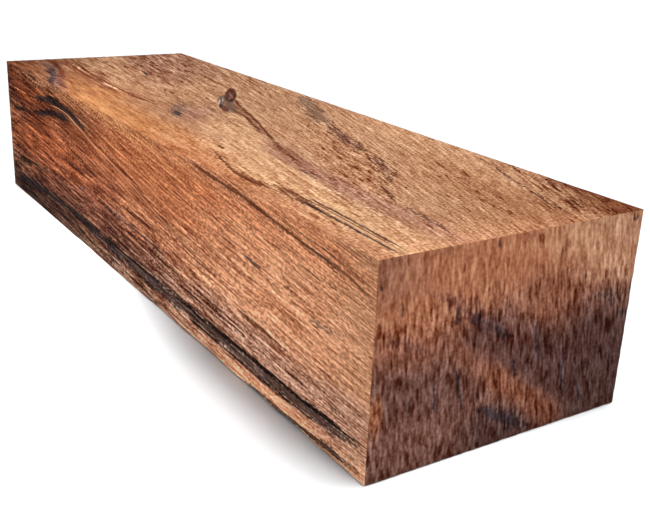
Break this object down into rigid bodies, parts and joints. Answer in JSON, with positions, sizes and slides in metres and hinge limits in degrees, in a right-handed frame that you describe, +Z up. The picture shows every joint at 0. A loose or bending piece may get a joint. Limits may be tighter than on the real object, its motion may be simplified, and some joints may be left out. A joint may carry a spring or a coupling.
{
  "type": "bolivian rosewood block",
  "caption": "Squared solid block of figured dark-streaked hardwood, grain lengthwise, with a small sunken knot in its top face and a splintered lower edge.",
  "frame": {"origin": "middle of the wide face that the block lies on", "axes": "+X along the grain towards the end shown in the picture, +Y across the width, +Z up"},
  "size_m": [0.127, 0.0382, 0.0254],
  "materials": {
    "rosewood": "sanded, unfinished, figured with dark streaks"
  },
  "bodies": {
    "root": {"rosewood_block": "rosewood"}
  },
  "joints": []
}
